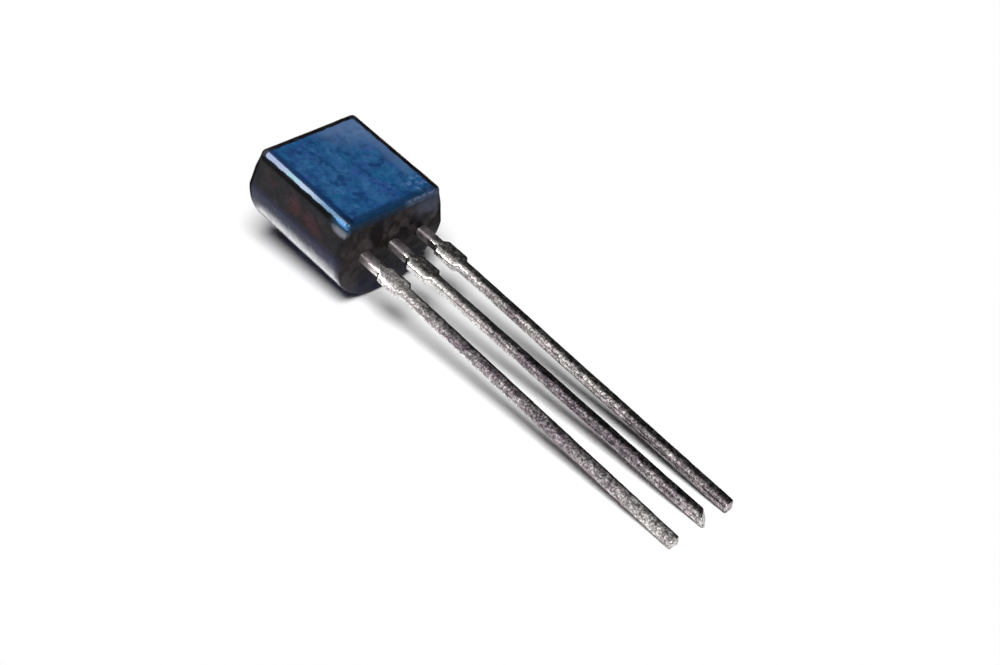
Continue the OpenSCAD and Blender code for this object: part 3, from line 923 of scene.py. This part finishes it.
def lead_points(y, lean, flag_side, cut, roll, dome, seed):
    """Grid of points, round the lead in the first index and along it in the second."""
    s = lead_stations(FRAME_DEPTH + (FLAG_L if flag_side else PADDLE_L))
    widen = shoulder(s)
    left, right = half_widths(s, widen, flag_side)
    c, d, across, up, half = lead_section(s, widen, left, right, dome)
    tip = np.clip((s - (LEAD_L - TIP_R)) / TIP_R, 0, 1)
    shrink = TIP_R * (1 - np.sqrt(1 - tip ** 2))
    spine = np.stack([s, np.full_like(s, y), 0 * s], 1)
    wander = WANDER * smooth(s, *WANDER_X) * ripple(spine, WANDER_L, seed)
    swell = 1 - SWELL * dents(spine, SWELL_L, seed + 1) * smooth(s, *SWELL_X)
    side = across * (half * swell - shrink) + wander
    height = up * (STRIP_TOP * swell - shrink)
    x = np.repeat(s[None], SECTION_POINTS, 0)
    skin = np.stack([x, side + y, height], -1).reshape(-1, 3)
    dent = DENT * np.tanh(ripple(skin, DENT_L, seed + 2)) + PIT * np.tanh(ripple(skin, PIT_L, seed + 3))
    dent = (dent.reshape(x.shape) - DENT_SINK) * smooth(s, *DENT_X)
    side, height = twisted(s, side + across * dent * np.abs(c), height + up * dent * np.abs(d), roll)
    slant = np.clip((SLANT_Y * side + SLANT_Z * height + SLANT_HALF) / (2 * SLANT_HALF), 0, SLANT_FULL)
    x = x - cut * smooth(s, LEAD_L - SLANT_L, LEAD_L) * slant
    x, side = leant(x, side, lean)
    return np.stack([x, side + y, height], -1)


def make_lead(node, material, **shape):
    shell = lead_points(**shape)
    around, along = shell.shape[:2]
    v = shell.reshape(-1, 3)
    inner = np.arange(around) * along
    tip = inner + along - 1
    v = np.concatenate([v, [v[tip].mean(0), v[inner].mean(0)]])
    faces = tube_faces(around, along) + fan_faces(tip, len(v) - 2) + fan_faces(inner[::-1], len(v) - 1)
    make_piece(node + "_tinned", v, faces, material, node)


# ---- Stage ----

def make_camera():
    data = bpy.data.cameras.new("camera")
    camera = add_to_scene("camera", data)
    data.sensor_width = SENSOR
    data.lens = FOCAL_PIXELS / IMAGE_WIDTH * SENSOR
    data.clip_start = CLIP_START
    data.clip_end = CLIP_END
    back = direction(CAMERA_AZIMUTH, CAMERA_ELEVATION)
    turn = (-back).to_track_quat("-Z", "Y").to_matrix() @ Matrix.Rotation(math.radians(CAMERA_ROLL), 3, "Z")
    camera.matrix_world = Matrix.Translation(CAMERA_TARGET + back * CAMERA_DISTANCE) @ turn.to_4x4()
    bpy.context.scene.camera = camera


def background_ray(tree):
    """1 for a camera, glossy or transmission ray, else 0."""
    path = tree.nodes.new("ShaderNodeLightPath")
    total = path.outputs["Is Camera Ray"]
    for name in ("Is Glossy Ray", "Is Transmission Ray"):
        node = tree.nodes.new("ShaderNodeMath")
        node.operation = "MAXIMUM"
        tree.links.new(total, node.inputs[0])
        tree.links.new(path.outputs[name], node.inputs[1])
        total = node.outputs[0]
    return total


def make_floor():
    """Diffuse floor that reads as white where nothing shades it."""
    bpy.ops.mesh.primitive_plane_add(size=FLOOR_SIZE)
    floor = bpy.context.object
    floor.name = "floor"
    n = Nodes("floor_white")
    n.set(
        Base_Color=n.mix(background_ray(n.tree), FLOOR_TONE, FLOOR_SEEN),
        Roughness=1.0,
        Specular_IOR_Level=0.0,
    )
    floor.data.materials.append(n.material)


def gloss_card(name, points, columns, strength, n):
    """Grid of points as a glowing card that only reflections see."""
    n.set(Base_Color=BLACK, Specular_IOR_Level=0.0, Emission_Color=WHITE, Emission_Strength=strength)
    rows = len(points) // columns
    faces = [
        (i * columns + j, (i + 1) * columns + j, (i + 1) * columns + j + 1, i * columns + j + 1)
        for i in range(rows - 1) for j in range(columns - 1)
    ]
    mesh = bpy.data.meshes.new(name)
    mesh.from_pydata(points, [], faces)
    mesh.materials.append(n.material)
    card = add_to_scene(name, mesh)
    for ray in ("camera", "diffuse", "transmission", "volume_scatter", "shadow"):
        setattr(card, f"visible_{ray}", False)


def make_dark_card():
    """Dark towards the base side, where it draws the edges of the bright metal, and white at its ends."""
    n = Nodes("dark_card")
    place = n.add("ShaderNodeTexCoord").outputs["Object"]
    aim = n.vector_math("NORMALIZE", {0: place})[0]
    beside = n.add("ShaderNodeSeparateXYZ", {0: aim}).outputs["Y"]
    strength = n.plus(n.step(beside, 0.51, 0.43, 0.02, 0.4), n.step(beside, 0.38, -0.1, 0.0, 0.6))
    dome = [direction(a, e) * DOME_RADIUS for a in DOME_AZIMUTHS for e in DOME_ELEVATIONS]
    gloss_card("dark_card", dome, len(DOME_ELEVATIONS), strength, n)


def make_bounce_card():
    """White beside the part, where the round back mirrors it."""
    corners = [Vector((x, y, BOUNCE_Z)) * MM for x in BOUNCE_X for y in BOUNCE_Y]
    gloss_card("bounce_card", corners, len(BOUNCE_Y), BOUNCE, Nodes("bounce_card"))


def make_light():
    world = bpy.data.worlds.new("studio")
    bpy.context.scene.world = world
    world.use_nodes = True
    tree = world.node_tree
    background = tree.nodes["Background"]
    seen = tree.nodes.new("ShaderNodeMix")
    seen.data_type = "RGBA"
    tree.links.new(background_ray(tree), seen.inputs[0])
    colours = [s for s in seen.inputs if s.type == "RGBA"]
    colours[0].default_value = FILL_COLOUR
    colours[1].default_value = WHITE
    result = next(s for s in seen.outputs if s.type == "RGBA")
    tree.links.new(result, background.inputs["Color"])
    background.inputs["Strength"].default_value = 1
    data = bpy.data.lights.new("key", "SUN")
    data.energy = KEY_STRENGTH
    data.angle = math.radians(KEY_ANGLE)
    key = add_to_scene("key", data)
    key.rotation_mode = "QUATERNION"
    key.rotation_quaternion = direction(KEY_AZIMUTH, KEY_ELEVATION).to_track_quat("Z", "Y")


def make_strip_light():
    """Strip light that only gloss sees, placed where the round edge on the emitter side mirrors it."""
    edge = Vector(laid_down(np.array([[-CASE_L / 2, -FLAT_W / 2, FLAT_H]]))[0])
    top, foot = (edge + Vector(aim).normalized() * STRIP_AWAY for aim in STRIP_TOWARDS)
    middle, length = (top + foot) / 2, (top - foot).length
    long = (top - foot).normalized()
    away = middle - edge
    away = (away - long * away.dot(long)).normalized()
    data = bpy.data.lights.new("edge_strip", "AREA")
    data.shape = "RECTANGLE"
    data.size, data.size_y = STRIP_WIDTH, length
    data.energy = STRIP_RADIANCE * math.pi * data.size * data.size_y
    strip = add_to_scene("edge_strip", data)
    turn = Matrix((long.cross(away), long, away)).transposed()
    strip.matrix_world = Matrix.Translation(middle) @ turn.to_4x4()
    for ray in ("camera", "diffuse", "transmission", "volume_scatter"):
        setattr(strip, f"visible_{ray}", False)


make_camera()
make_floor()
make_dark_card()
make_bounce_card()
make_light()
make_strip_light()

make_case(epoxy_material())
make_coat(coat_material())
tin = tin_material()
for lead, shape in LEADS.items():
    make_lead(lead, tin, **shape)
finish_sealed_pieces()

bpy.context.scene.view_settings.view_transform = "Standard"
